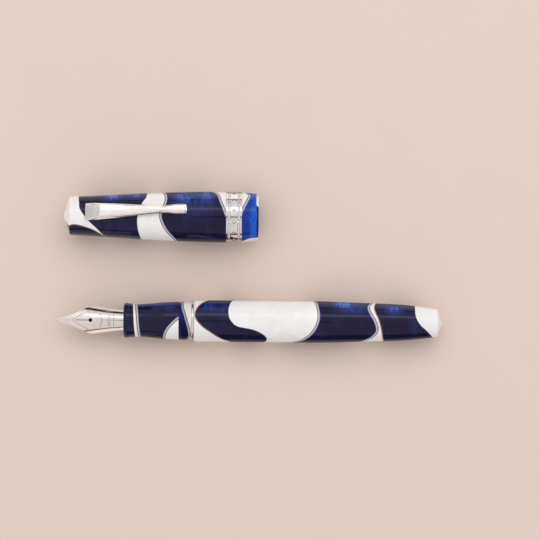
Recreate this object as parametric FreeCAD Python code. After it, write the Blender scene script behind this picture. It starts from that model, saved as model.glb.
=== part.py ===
"""Fountain pen with its cap lying beside it.

The pen lies along X, nib towards -X, top of the nib towards +Z. The cap lies beside it on the +Y side, mouth
towards +X. Stations along the pen are measured from the barrel's front face, and stations along the cap from
the tip of its closed end. The part's origin is on the pen's axis, at the middle of the barrel's straight stretch.
All lengths are in millimetres.
"""

import FreeCAD, Part
import math
import os

V = FreeCAD.Vector
X_AXIS = V(1, 0, 0)
Y_AXIS = V(0, 1, 0)
Z_AXIS = V(0, 0, 1)

# Whole pen
ORIGIN_STATION = 20.0
BARREL_RADIUS = 7.05
BARREL_STRAIGHT_END = 40.0
BARREL_END = 84.05
SECTION_FRONT = -23.75
SECTION_BACK = -0.95
NIB_TIP = -46.7

# Fits: radial clearance of parts that slide or turn, and of parts that are only glued or pressed together
RUNNING = 0.05
GLUED = 0.02

# Threads between section and cap, and between section and barrel
CAP_THREAD = {"root": 6.2, "crest": 6.65, "lead": 2.07, "starts": 3}
BARREL_THREAD = {"root": 5.2, "crest": 5.55, "lead": 1.6, "starts": 2}
THREAD_FLAT = 0.08
THREAD_DEPTH_INTO_WALL = 0.15

# Section and nib unit
SECTION_WAIST = 5.5
HOUSING_RADIUS = 4.2
HOUSING_BACK = -8.2
HOUSING_BORE = 3.45
NIB_THICKNESS = 0.3
NIB_SLIT = 0.12
BREATHER_STATION = -34.9
BREATHER_RADIUS = 0.65
NIPPLE_RADIUS = 1.3
FEED_RADIUS = 3.05
FEED_FINS = 11
FIN_PITCH = 0.78
FIN_GAP = 0.36
CONNECTOR_RADIUS = 4.9
CONNECTOR_BORE = 4.3
REGISTER_RADIUS = 5.6

# Ink converter
CONVERTER_FRONT = -7.9
TUBE_RADIUS = 3.6
TUBE_BORE = 2.9
TUBE_BACK = 30.2
COLLAR_RADIUS = 3.95
COLLAR_BACK = 34.0
KNOB_RADIUS = 3.85
KNOB_BACK = 57.0
KNOB_FLUTES = 20
ROD_RADIUS = 1.1
ROD_FLAT = 0.8

# Barrel cavity
INSERT_RADIUS = 6.2
INSERT_BACK = 9.8
CAVITY_RADIUS = 4.75
CAVITY_BACK = 70.0

# Cap, measured from its closed end
CAP_LENGTH = 65.8
CAP_RADIUS = 8.6
CAP_APEX = -44.3
CAP_SPACING = 35.1
CLIP_ROLL = 14.0
BAND_FRONT, BAND_BACK = 54.8, 60.3
BAND_THICKNESS = 0.8
BAND_DIAMONDS = 14
BAND_RAIL = 0.7
BAND_SLOT = 0.8
BAND_BRIDGE_ANGLE = 8.0
BAND_PHASE = 25.0
TENON_RADIUS, TENON_BACK = 7.3, 62.0
CAP_BORE = 6.7
LINER_FRONT, LINER_BACK = 16.5, 42.9
LINER_RADIUS, LINER_BORE = 6.2, 5.0
CLIP_CAVITY = (6.0, 16.4)
CLIP_CAVITY_RADIUS = 5.0
PIVOT_STATION, PIVOT_HEIGHT, PIVOT_RADIUS = 9.8, 3.6, 0.5
LUG_HALF_WIDTH = 1.0
CLIP_GAP = 0.3


# ---------------------------------------------------------------- turned shapes
def line(*stations):
    """Straight edges through (station, radius) points."""
    points = [V(x, 0, r) for x, r in stations]
    return [Part.makeLine(a, b) for a, b in zip(points, points[1:])]


def curve(*stations, start=(1, 0), end=(1, 0)):
    """One smooth edge through (station, radius) points, with its directions at both ends."""
    spline = Part.BSplineCurve()
    spline.interpolate(
        Points=[V(x, 0, r) for x, r in stations],
        InitialTangent=V(start[0], 0, start[1]),
        FinalTangent=V(end[0], 0, end[1]),
    )
    return [spline.toShape()]


def lathe(*runs):
    """Solid turned about the X axis; the last point is joined straight back to the first."""
    edges = [edge for run in runs for edge in run]
    first = edges[0].valueAt(edges[0].FirstParameter)
    last = edges[-1].valueAt(edges[-1].LastParameter)
    if first.distanceToPoint(last) > 1e-6:
        edges.append(Part.makeLine(last, first))
    return Part.Face(Part.Wire(edges)).revolve(V(0, 0, 0), X_AXIS, 360)


def rod(front, back, radius):
    return Part.makeCylinder(radius, back - front, V(front, 0, 0), X_AXIS)


def tube(front, back, radius, bore):
    return rod(front, back, radius).cut(rod(front - 1, back + 1, bore))


def block(x, y, z):
    """Box between three (low, high) pairs."""
    return Part.makeBox(x[1] - x[0], y[1] - y[0], z[1] - z[0], V(x[0], y[0], z[0]))


def fused(first, others):
    return first.fuse(list(others)).removeSplitter()


def screw_ridges(front, back, root, crest, lead, starts):
    """Right-handed thread ridges of a triangular section, one per start."""
    width = 0.88 * lead / starts
    foot = root - THREAD_DEPTH_INTO_WALL
    corners = [V(foot, 0, -width / 2), V(crest, 0, -THREAD_FLAT / 2), V(crest, 0, THREAD_FLAT / 2)]
    corners += [V(foot, 0, width / 2), corners[0]]
    helix = Part.makeHelix(lead, back - front - width, root)
    ridges = []
    for start in range(starts):
        ridge = Part.Wire(helix).makePipeShell([Part.makePolygon(corners)], True, True)
        ridge.rotate(V(0, 0, 0), Z_AXIS, 360 * start / starts)
        ridge.rotate(V(0, 0, 0), Y_AXIS, 90)
        ridge.translate(V(front + width / 2, 0, 0))
        ridges.append(ridge)
    return ridges


# ---------------------------------------------------------------- section and nib unit
def section_grip():
    """Waisted grip with a rolled front lip and the cap's thread behind a step."""
    lip = curve((SECTION_FRONT, 5.35), (-23.45, 5.78), (-22.9, 5.95), start=(0, 1))
    waist = curve(
        (-22.9, 5.95), (-21.2, 5.67), (-18.5, SECTION_WAIST), (-14.5, 5.78), (-10.3, 6.18), (-5.5, 6.43),
        end=(1, 0.03),
    )
    root = CAP_THREAD["root"]
    back = line((-5.5, 6.43), (-5.2, 6.4), (-5.1, root), (-1.3, root), (-1.2, 6.35), (SECTION_BACK, 6.35))
    body = lathe(line((SECTION_FRONT, 0), (SECTION_FRONT, 5.35)), lip, waist, back, line((SECTION_BACK, 6.35),
                 (SECTION_BACK, 0)))
    body = fused(body, screw_ridges(-5.0, -1.3, **CAP_THREAD))
    body = body.cut(rod(SECTION_FRONT - 1, HOUSING_BACK, HOUSING_RADIUS + GLUED))
    body = body.cut(rod(HOUSING_BACK - 1, -6.0, TUBE_RADIUS + 0.15))
    return body.cut(rod(-6.0, 0, CONNECTOR_RADIUS + GLUED))


def section_connector():
    """Metal tube glued into the section; its threaded tail carries the barrel."""
    body = fused(rod(-6.0, 9.6, CONNECTOR_RADIUS), [rod(SECTION_BACK + GLUED, 0.9, REGISTER_RADIUS)])
    body = fused(body, [rod(0.9, 9.4, BARREL_THREAD["root"])])
    body = fused(body, screw_ridges(1.3, 9.2, **BARREL_THREAD))
    return body.cut(rod(-7, 10, CONNECTOR_BORE))


def nib_housing():
    """Collar around nib and feed, closed behind by a wall with the ink nipple."""
    collar = tube(SECTION_FRONT + 0.2, HOUSING_BACK, HOUSING_RADIUS, HOUSING_BORE)
    wall = rod(HOUSING_BACK - 1.0, HOUSING_BACK, HOUSING_RADIUS)
    nipple = rod(HOUSING_BACK - 0.5, -3.6, NIPPLE_RADIUS)
    return fused(collar, [wall, nipple]).cut(rod(HOUSING_BACK - 2, 0, 0.6))


def leaf_section(x, radius, half_angle, crown):
    """Closed outline of the curved sheet at one station: two arcs about a centre below the crown."""
    centre = V(x, 0, crown - radius)

    def on_arc(r, angle):
        a = math.radians(angle)
        return centre + V(0, r * math.sin(a), r * math.cos(a))

    inner = radius - NIB_THICKNESS
    outer_arc = Part.Arc(on_arc(radius, -half_angle), on_arc(radius, 0), on_arc(radius, half_angle)).toShape()
    inner_arc = Part.Arc(on_arc(inner, half_angle), on_arc(inner, 0), on_arc(inner, -half_angle)).toShape()
    side = Part.makeLine(on_arc(radius, half_angle), on_arc(inner, half_angle))
    other = Part.makeLine(on_arc(inner, -half_angle), on_arc(radius, -half_angle))
    return Part.Wire([outer_arc, side, inner_arc, other])


def nib_plan():
    """Upright prism of the nib's outline seen from above: long taper, round shoulders, then wide open."""
    half = [(NIB_TIP + 0.3, 0.42), (-45.2, 0.62), (-42.9, 1.32), (-40.7, 2.12), (-37.8, 3.4), (-36.4, 4.0)]
    half += [(-35.4, 4.38), (-34.6, 4.62), (-33.8, 7.0), (-16.0, 7.0)]
    corners = [V(x, -y, -10) for x, y in half] + [V(x, y, -10) for x, y in reversed(half)]
    return Part.Face(Part.makePolygon(corners + corners[:1])).extrude(V(0, 0, 20))


def slit_cutter():
    return block((NIB_TIP - 1, BREATHER_STATION), (-NIB_SLIT / 2, NIB_SLIT / 2), (-5, 10))


def nib():
    """Thin sheet, tightly curled inside the section and opening flat towards the point."""
    curl = [
        (-17.0, 3.42, 78, 3.42),
        (-23.7, 3.42, 88, 3.42),
        (-26.0, 3.62, 83, 3.42),
        (-28.5, 3.95, 76.5, 3.4),
        (-31.2, 4.42, 71, 3.3),
        (-34.0, 5.0, 67, 3.15),
        (-37.0, 5.65, 53, 2.88),
        (-40.0, 6.3, 40, 2.52),
        (-43.3, 7.1, 29, 2.05),
        (NIB_TIP, 8.0, 20, 1.5),
    ]
    sheet = Part.makeLoft([leaf_section(*station) for station in curl], True, True)
    hole = Part.makeCylinder(BREATHER_RADIUS, 20, V(BREATHER_STATION, 0, -5), Z_AXIS)
    return sheet.common(nib_plan()).cut(hole).cut(slit_cutter())


def nib_tipping(sheet):
    """Hard ball under the point, split by the slit."""
    radius, length, height = 0.47, 0.36, 1.22
    front = NIB_TIP + radius
    ball = Part.makeCylinder(radius, length, V(front, 0, height), X_AXIS)
    ball = fused(ball, [Part.makeSphere(radius, V(front + d, 0, height)) for d in (0, length)])
    return ball.cut(sheet).cut(slit_cutter())


def feed():
    """Ink feed: round inside the section, a finned beak under the nib."""
    stem = rod(-23.9, HOUSING_BACK - 1.2, FEED_RADIUS)
    side = [(-23.9, 2.85), (-30, 2.65), (-35, 2.25), (-40.5, 1.6), (-40.7, 1.25), (-36.5, -0.5), (-33.6, -2.3)]
    side += [(-32.6, -2.85), (-31.5, -3.1), (-23.9, -3.1)]
    corners = [V(x, -4, z) for x, z in side]
    beak = Part.Face(Part.makePolygon(corners + corners[:1])).extrude(V(0, 8, 0))
    plan = [(-23.9, 3.2), (-33.6, 2.7), (-37.0, 1.7), (-41.0, 0.7)]
    corners = [V(x, -y, -5) for x, y in plan] + [V(x, y, -5) for x, y in reversed(plan)]
    taper = Part.Face(Part.makePolygon(corners + corners[:1])).extrude(V(0, 0, 10))
    beak = beak.common(rod(-41, -23.9, FEED_RADIUS)).common(taper)
    body = fused(stem, [beak])
    core = 1.9
    for i in range(FEED_FINS):
        x = -32.4 + i * FIN_PITCH
        gap = tube(x, x + FIN_GAP, FEED_RADIUS + 1, core)
        body = body.cut(gap.common(block((-50, 0), (-5, 5), (-5, 0.3))))
    channel = block((-41, -12), (-0.25, 0.25), (0.9, 5))
    return body.cut(channel)


def trim_ring():
    """Polished ring between section and barrel, rounded outside."""
    front, back, bore, radius, edge = -0.88, -0.08, REGISTER_RADIUS + RUNNING, 6.72, 0.25
    rim = curve((front, radius - edge), (-0.48, radius), (back, radius - edge), start=(0.2, 1), end=(0.2, -1))
    return lathe(line((front, bore), (front, radius - edge)), rim, line((back, radius - edge), (back, bore)))


# ---------------------------------------------------------------- barrel
def barrel():
    """Straight for nearly half its length, then tapering to a blunt cone."""
    start = BARREL_STRAIGHT_END
    taper = curve((start, BARREL_RADIUS), (52, 6.73), (64, 6.36), (70, 6.08), (76.2, 5.5), (82.0, 4.78),
                  end=(1, -0.14))
    body = lathe(
        line((0, 0), (0, 6.72), (0.12, 6.9), (0.35, BARREL_RADIUS), (start, BARREL_RADIUS)),
        taper,
        line((82.0, 4.78), (82.25, 4.6), (BARREL_END, 0)),
    )
    body = body.cut(rod(-1, INSERT_BACK + GLUED, INSERT_RADIUS + GLUED))
    drill_tip = 3.0
    cavity = lathe(line((0, 0), (0, CAVITY_RADIUS), (CAVITY_BACK, CAVITY_RADIUS), (CAVITY_BACK + drill_tip, 0)))
    return body.cut(cavity)


def barrel_thread_insert():
    """Threaded bush glued into the barrel's mouth; its thread runs clear of the section's by a running gap."""
    bore = BARREL_THREAD["crest"] + RUNNING
    body = tube(0.15, INSERT_BACK, INSERT_RADIUS, bore)
    grooves = screw_ridges(1.3, 9.2, bore, bore + 0.3, BARREL_THREAD["lead"], BARREL_THREAD["starts"])
    for groove in grooves:
        body = body.cut(groove)
    return body


# ---------------------------------------------------------------- ink converter
def converter_tube():
    return tube(CONVERTER_FRONT, TUBE_BACK, TUBE_RADIUS, TUBE_BORE)


def converter_plug():
    """Mouth of the converter that is pushed over the nipple."""
    return tube(CONVERTER_FRONT, -3.7, TUBE_BORE - GLUED, NIPPLE_RADIUS + RUNNING)


def converter_collar():
    """Metal sleeve around the back of the tube; its back lip keeps the knob from coming out."""
    body = lathe(line((24.0, 0), (24.0, 3.8), (24.2, COLLAR_RADIUS), (33.8, COLLAR_RADIUS), (COLLAR_BACK, 3.75),
                 (COLLAR_BACK, 0)))
    body = body.cut(rod(23, 32.7, TUBE_RADIUS + GLUED))
    return body.cut(rod(32, 35, 2.6 + RUNNING))


def flatted_rod(front, back, radius, flat):
    return rod(front, back, radius).common(block((front, back), (-radius, radius), (-flat, flat)))


def rod_guide():
    """Disc with a flatted hole, so the piston rod can slide but not turn."""
    hole = flatted_rod(TUBE_BACK - 1, 33, ROD_RADIUS + RUNNING, ROD_FLAT + RUNNING)
    return rod(TUBE_BACK + GLUED, 31.4, TUBE_RADIUS).cut(hole)


def converter_knob():
    """Turning knob with a captive neck and a fluted grip; its bore is the nut of the piston rod."""
    body = fused(rod(31.5, 32.6, 3.3), [rod(32.5, 34.3, 2.6)])
    grip = lathe(line((34.15, 0), (34.15, 3.6), (34.4, KNOB_RADIUS), (KNOB_BACK - 0.6, KNOB_RADIUS),
                 (KNOB_BACK, 3.3), (KNOB_BACK, 0)))
    body = fused(body, [grip])
    for i in range(KNOB_FLUTES):
        a = 2 * math.pi * i / KNOB_FLUTES
        centre = V(38, (KNOB_RADIUS + 0.1) * math.sin(a), (KNOB_RADIUS + 0.1) * math.cos(a))
        body = body.cut(Part.makeCylinder(0.32, KNOB_BACK - 36, centre, X_AXIS))
    return body.cut(rod(31, 38, ROD_RADIUS + RUNNING)).cut(rod(37.9, KNOB_BACK - 1.2, 1.6))


def piston_rod():
    return flatted_rod(1.25, 37.0, ROD_RADIUS, ROD_FLAT)


def piston_seal():
    """Plastic piston with two sealing lips."""
    lip, waist = TUBE_BORE - RUNNING, 2.5
    return lathe(line((-3.0, 0), (-3.0, 2.4), (-2.6, lip), (-1.8, lip), (-1.6, waist), (-0.3, waist),
                 (-0.1, lip), (0.8, lip), (1.2, 2.4), (1.2, 0)))


# ---------------------------------------------------------------- cap, built about its own axis with the clip up
def cap_outline(grown=0.0):
    """Outside of the cap's resin from the closed end to the band: blunt cone, then a slow swell."""
    g = grown
    swell = curve((2.45, 6.52 + g), (9, 6.86 + g), (17, 7.32 + g), (25.2, 7.75 + g), (39.4, 8.31 + g),
                  (BAND_FRONT, CAP_RADIUS + g), start=(1, 0.04), end=(1, 0.01))
    cone = line((-g, 0), (2.15 - g / 2, 6.28 + g), (2.45, 6.52 + g))
    return cone, swell


def cap_shell():
    """Resin body with the bore for the liner, the cavity and slot for the clip, and the tenon for the band."""
    cone, swell = cap_outline()
    tenon = line((BAND_FRONT, CAP_RADIUS), (BAND_FRONT, TENON_RADIUS), (TENON_BACK, TENON_RADIUS),
                 (TENON_BACK, 0))
    body = lathe(cone, swell, tenon)
    body = body.cut(rod(CLIP_CAVITY[0], CLIP_CAVITY[1] + 1, CLIP_CAVITY_RADIUS))
    body = body.cut(rod(CLIP_CAVITY[1], LINER_BACK + 0.5, LINER_RADIUS + RUNNING))
    body = body.cut(rod(LINER_BACK + 0.1, CAP_LENGTH, CAP_BORE))
    slot_end = 0.4
    slot = block((PIVOT_STATION - 1.5, PIVOT_STATION + 1.3), (-LUG_HALF_WIDTH - 0.15, LUG_HALF_WIDTH + 0.15),
                 (CLIP_CAVITY_RADIUS - slot_end, 9))
    screw_hole = Part.makeCylinder(0.9, 4, V(3.2, 0, -1.5), X_AXIS)
    return body.cut(slot).cut(screw_hole)


def cap_lip():
    """Resin ring behind the band, hollowed outside, with the inner thread that takes the section's."""
    flare = curve((BAND_BACK, 8.58), (62.4, 8.25), (65.0, 8.02), start=(1, -0.2), end=(1, -0.04))
    mouth = curve((65.0, 8.02), (65.6, 7.75), (CAP_LENGTH, 7.3), end=(0, -1))
    inside = line((CAP_LENGTH, 7.3), (CAP_LENGTH, 7.0), (65.5, CAP_BORE), (TENON_BACK + GLUED, CAP_BORE),
                  (TENON_BACK + GLUED, TENON_RADIUS + GLUED), (BAND_BACK, TENON_RADIUS + GLUED))
    body = lathe(line((BAND_BACK, TENON_RADIUS + GLUED), (BAND_BACK, 8.58)), flare, mouth, inside)
    lead, starts = CAP_THREAD["lead"], CAP_THREAD["starts"]
    for groove in screw_ridges(62.4, 65.4, CAP_BORE, CAP_BORE + 0.35, lead, starts):
        body = body.cut(groove)
    return body


def cap_liner():
    """Inner cap: a thin cup whose rim seals on the front of the section."""
    floor = 1.2
    return rod(LINER_FRONT, LINER_BACK, LINER_RADIUS).cut(rod(LINER_FRONT + floor, LINER_BACK + 1, LINER_BORE))


def slot_cutter(front, middle_angle):
    """Part of a ring, between two bridges of the band."""
    sweep = 720 / BAND_DIAMONDS - BAND_BRIDGE_ANGLE
    corners = [V(front, 0, 7), V(front, 0, 9), V(front + BAND_SLOT, 0, 9), V(front + BAND_SLOT, 0, 7), V(front, 0, 7)]
    cutter = Part.Face(Part.makePolygon(corners)).revolve(V(0, 0, 0), X_AXIS, sweep)
    cutter.rotate(V(0, 0, 0), X_AXIS, middle_angle - sweep / 2)
    return cutter


def diamond_cutter(angle):
    """Four-sided opening in the middle strip of the band."""
    middle, half_length, half_width = (BAND_FRONT + BAND_BACK) / 2, 0.65, 0.78
    corners = [V(middle - half_length, 0, 7), V(middle, half_width, 7), V(middle + half_length, 0, 7)]
    corners += [V(middle, -half_width, 7), corners[0]]
    cutter = Part.Face(Part.makePolygon(corners)).extrude(V(0, 0, 2))
    cutter.rotate(V(0, 0, 0), X_AXIS, angle)
    return cutter


def cap_band():
    """Pierced ring: two rails and a middle strip of diamonds, joined by bridges at every second diamond."""
    edge, bore = 0.12, CAP_RADIUS - BAND_THICKNESS
    body = lathe(line((BAND_FRONT, bore), (BAND_FRONT, CAP_RADIUS - edge), (BAND_FRONT + edge, CAP_RADIUS),
                 (BAND_BACK - edge, CAP_RADIUS), (BAND_BACK, CAP_RADIUS - edge), (BAND_BACK, bore)))
    pitch = 360 / BAND_DIAMONDS
    cutters = [diamond_cutter(BAND_PHASE + i * pitch) for i in range(BAND_DIAMONDS)]
    for i in range(BAND_DIAMONDS // 2):
        middle_angle = BAND_PHASE + (2 * i + 1) * pitch
        cutters.append(slot_cutter(BAND_FRONT + BAND_RAIL, middle_angle))
        cutters.append(slot_cutter(BAND_BACK - BAND_RAIL - BAND_SLOT, middle_angle))
    return body.cut(cutters)


def cap_band_backing():
    return tube(BAND_FRONT + GLUED, BAND_BACK - GLUED, CAP_RADIUS - BAND_THICKNESS - GLUED, TENON_RADIUS + GLUED)


def clip_section(station, half_width, bottom, edge, crown):
    """Six-sided outline across the clip: flat top, bevelled sides."""
    flat = 0.62 * half_width
    corners = [(-half_width, bottom), (-half_width, edge), (-flat, crown), (flat, crown), (half_width, edge)]
    corners.append((half_width, bottom))
    points = [V(station, y, z) for y, z in corners]
    return Part.makePolygon(points + points[:1])


def clip():
    """Sprung clip: sloping head, bevelled blade narrowing to a neck, squared ball end, and the lug inside."""
    outline = [
        (7.3, 2.7, 5.9, 6.8, 7.35),
        (8.1, 2.93, 5.9, 7.0, 7.65),
        (12.1, 2.93, 6.2, 7.35, 8.6),
        (20.6, 2.25, 7.85, 8.3, 9.1),
        (29.2, 1.52, 8.75, 9.2, 9.95),
        (33.5, 1.27, 9.0, 9.6, 10.3),
        (37.1, 1.57, 8.7, 9.8, 10.5),
        (39.0, 1.74, 8.5, 9.8, 10.6),
        (41.0, 1.5, 8.6, 9.6, 10.35),
        (41.7, 0.95, 8.9, 9.4, 9.95),
    ]
    body = Part.makeLoft([clip_section(*station) for station in outline], True, True)
    cone, swell = cap_outline(CLIP_GAP)
    body = body.cut(lathe(cone, swell, line((BAND_FRONT, CAP_RADIUS + CLIP_GAP), (BAND_FRONT, 0))))
    width = (-LUG_HALF_WIDTH, LUG_HALF_WIDTH)
    lug = block((PIVOT_STATION - 0.9, PIVOT_STATION + 0.9), width, (PIVOT_HEIGHT - 0.6, 7.6))
    tail = block((PIVOT_STATION - 2.5, PIVOT_STATION), width, (PIVOT_HEIGHT - 0.6, PIVOT_HEIGHT + 0.6))
    body = fused(body, [lug, tail])
    return body.cut(pivot(PIVOT_RADIUS + RUNNING, 6))


def pivot(radius, length):
    return Part.makeCylinder(radius, length, V(PIVOT_STATION, -length / 2, PIVOT_HEIGHT), Y_AXIS)


def clip_bracket():
    """Bracket screwed inside the closed end: a disc, two cheeks for the pin and a floor for the spring."""
    front = CLIP_CAVITY[0] + GLUED
    disc = rod(front, front + 1.0, CLIP_CAVITY_RADIUS - RUNNING)
    inner, outer = LUG_HALF_WIDTH + 0.1, LUG_HALF_WIDTH + 1.1
    cheeks = [block((front + 0.9, 11.2), side, (0.2, 4.4)) for side in ((inner, outer), (-outer, -inner))]
    floor = block((front + 0.9, 9.2), (-inner - 0.2, inner + 0.2), (0.2, 0.6))
    body = fused(disc, cheeks + [floor])
    screw_hole = Part.makeCylinder(0.95, 4, V(5, 0, -1.5), X_AXIS)
    return body.cut(screw_hole).cut(pivot(PIVOT_RADIUS + 0.01, 6))


def clip_screw():
    """Screw with a slotted head that holds the bracket."""
    head_front = CLIP_CAVITY[0] + 1.0 + 2 * GLUED
    shank = Part.makeCylinder(0.85, head_front + 0.1 - 3.3, V(3.3, 0, -1.5), X_AXIS)
    head = Part.makeCylinder(1.4, 1.0, V(head_front, 0, -1.5), X_AXIS)
    slot = block((head_front + 0.6, head_front + 2), (-2, 2), (-1.65, -1.35))
    return fused(shank, [head]).cut(slot)


def clip_spring():
    """Bent leaf spring on the bracket's floor, its free end just under the clip's tail."""
    half_width, foot, thickness, tail = 0.9, 0.62, 0.16, PIVOT_HEIGHT - 0.85
    outside = [(9.1, foot), (7.3, foot), (7.05, foot + 0.5), (7.15, foot + 1.2), (8.2, tail)]
    inside = [(8.25, tail - thickness), (7.3, foot + 1.12), (7.22, foot + 0.5), (7.4, foot + thickness)]
    inside.append((9.1, foot + thickness))
    corners = [V(x, -half_width, z) for x, z in outside + inside]
    return Part.Face(Part.makePolygon(corners + corners[:1])).extrude(V(0, 2 * half_width, 0))


def laid_beside_pen(shape):
    """From the cap's own axis to its place beside the pen, both resting on one plane."""
    shape.rotate(V(0, 0, 0), X_AXIS, -CLIP_ROLL)
    shape.translate(V(CAP_APEX, CAP_SPACING, CAP_RADIUS - BARREL_RADIUS))
    return shape


# ---------------------------------------------------------------- all pieces
def pen_pieces():
    nib_sheet = nib()
    return {
        "section_grip": section_grip(),
        "section_connector": section_connector(),
        "nib_housing": nib_housing(),
        "nib": nib_sheet,
        "nib_tipping": nib_tipping(nib_sheet),
        "feed": feed(),
        "trim_ring": trim_ring(),
        "barrel": barrel(),
        "barrel_thread_insert": barrel_thread_insert(),
        "converter_tube": converter_tube(),
        "converter_plug": converter_plug(),
        "converter_collar": converter_collar(),
        "rod_guide": rod_guide(),
        "converter_knob": converter_knob(),
        "piston_rod": piston_rod(),
        "piston_seal": piston_seal(),
    }


def cap_pieces():
    return {
        "cap_shell": cap_shell(),
        "cap_lip": cap_lip(),
        "cap_band": cap_band(),
        "cap_band_backing": cap_band_backing(),
        "cap_liner": cap_liner(),
        "clip": clip(),
        "clip_pivot_pin": pivot(PIVOT_RADIUS, 4.2),
        "clip_bracket": clip_bracket(),
        "clip_screw": clip_screw(),
        "clip_spring": clip_spring(),
    }


def main():
    os.makedirs("parts", exist_ok=True)
    pieces = pen_pieces()
    pieces.update({name: laid_beside_pen(shape) for name, shape in cap_pieces().items()})
    for name, shape in pieces.items():
        shape.translate(V(-ORIGIN_STATION, 0, 0))
        print(f"{name}: {len(shape.Solids)} solid, {shape.Volume:.1f} mm3, valid {shape.isValid()}")
        shape.exportStep(f"parts/{name}.step")


main()
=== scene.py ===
"""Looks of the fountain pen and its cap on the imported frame: marbled resin, polished metal, engraved nib."""

import math

import bmesh
import bpy
import numpy as np
from mathutils import Matrix, Vector


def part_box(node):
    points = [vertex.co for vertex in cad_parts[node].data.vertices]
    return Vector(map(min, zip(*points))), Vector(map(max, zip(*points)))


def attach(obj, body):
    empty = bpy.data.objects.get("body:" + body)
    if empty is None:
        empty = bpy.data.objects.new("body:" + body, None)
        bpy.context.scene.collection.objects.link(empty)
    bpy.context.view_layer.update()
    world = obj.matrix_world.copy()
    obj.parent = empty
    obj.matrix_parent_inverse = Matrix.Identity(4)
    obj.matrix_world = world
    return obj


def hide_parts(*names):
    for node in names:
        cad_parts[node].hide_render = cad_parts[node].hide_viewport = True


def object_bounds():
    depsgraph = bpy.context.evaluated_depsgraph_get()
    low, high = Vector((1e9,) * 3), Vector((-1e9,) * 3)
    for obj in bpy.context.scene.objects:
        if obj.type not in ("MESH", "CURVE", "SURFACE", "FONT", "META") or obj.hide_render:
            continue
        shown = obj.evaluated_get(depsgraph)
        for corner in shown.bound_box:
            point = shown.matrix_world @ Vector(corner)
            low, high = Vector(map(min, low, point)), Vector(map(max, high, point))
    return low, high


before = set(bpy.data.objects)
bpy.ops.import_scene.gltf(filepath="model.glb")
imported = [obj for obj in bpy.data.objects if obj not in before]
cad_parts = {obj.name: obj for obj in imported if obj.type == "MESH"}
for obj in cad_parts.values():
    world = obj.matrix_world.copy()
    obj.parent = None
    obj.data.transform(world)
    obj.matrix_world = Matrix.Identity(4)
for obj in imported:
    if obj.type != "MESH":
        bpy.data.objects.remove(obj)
cad_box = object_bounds()

MM = 0.001
SEGMENTS = 180  # Round a turned piece
TINY = 1e-6

# Places in the row frame, in millimetres, read from the frame
PEN_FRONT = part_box("barrel")[0].x / MM
CAP_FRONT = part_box("cap_shell")[0].x / MM
CAP_CENTRE = (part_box("cap_shell")[0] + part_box("cap_shell")[1]) / 2 / MM
# front is where a part's stations start, centre its axis, and unrolled the radius its marbling is laid out at
PEN = {"front": PEN_FRONT, "centre": (0.0, 0.0), "unrolled": 6.5}
CAP = {"front": CAP_FRONT, "centre": (CAP_CENTRE.y, CAP_CENTRE.z), "unrolled": 8.0}
CLIP_ROLL = math.radians(14.0)
PEN_FRAME = Matrix.Translation((PEN_FRONT * MM, 0, 0))
CLIP_FRAME = (Matrix.Translation(Vector((CAP_FRONT, CAP_CENTRE.y, CAP_CENTRE.z)) * MM)
              @ Matrix.Rotation(-CLIP_ROLL, 4, "X"))


# ---------------------------------------------------------------- curves and meshes
def smooth(points, step=0.4):
    """Points about a step apart on a Catmull-Rom curve through the given ones."""
    p = np.array(points, float)
    p = np.vstack([2 * p[0] - p[1], p, 2 * p[-1] - p[-2]])
    out = []
    for a, b, c, d in zip(p, p[1:], p[2:], p[3:]):
        count = max(1, math.ceil(np.linalg.norm(c - b) / step))
        t = (np.arange(count) / count)[:, None]
        out.append(0.5 * (2 * b + (c - a) * t + (2 * a - 5 * b + 4 * c - d) * t**2
                          + (3 * b - a - 3 * c + d) * t**3))
    out.append(p[-2][None])
    return np.vstack(out)


def straight(points, step=1.2):
    """Points at most a step apart on the straight lines between the given ones."""
    out = []
    for a, b in zip(np.array(points[:-1], float), np.array(points[1:], float)):
        count = max(1, math.ceil(np.linalg.norm(b - a) / step))
        out += [a + (b - a) * i / count for i in range(count)]
    return np.array(out + [points[-1]], float)


def path(*runs):
    """One path from runs that each start where the last ended."""
    out = [np.array(runs[0], float)]
    for run in runs[1:]:
        run = np.array(run, float)
        out.append(run[1:] if np.allclose(out[-1][-1], run[0]) else run)
    return np.vstack(out)


def linked(name, data):
    """New object in the scene."""
    obj = bpy.data.objects.new(name, data)
    bpy.context.scene.collection.objects.link(obj)
    return obj


def from_bmesh(name, work):
    """New object in the scene from a bmesh, which is freed."""
    mesh = bpy.data.meshes.new(name)
    work.to_mesh(mesh)
    work.free()
    return linked(name, mesh)


def mesh_object(name, verts, faces, smooth_angle=35.0):
    """Object in the scene, shaded smooth up to an angle in degrees between its faces."""
    mesh = bpy.data.meshes.new(name)
    mesh.from_pydata([tuple(v) for v in verts], [], faces)
    mesh.validate()
    for polygon in mesh.polygons:
        polygon.use_smooth = True
    mesh.set_sharp_from_angle(angle=math.radians(smooth_angle))
    return linked(name, mesh)


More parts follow.
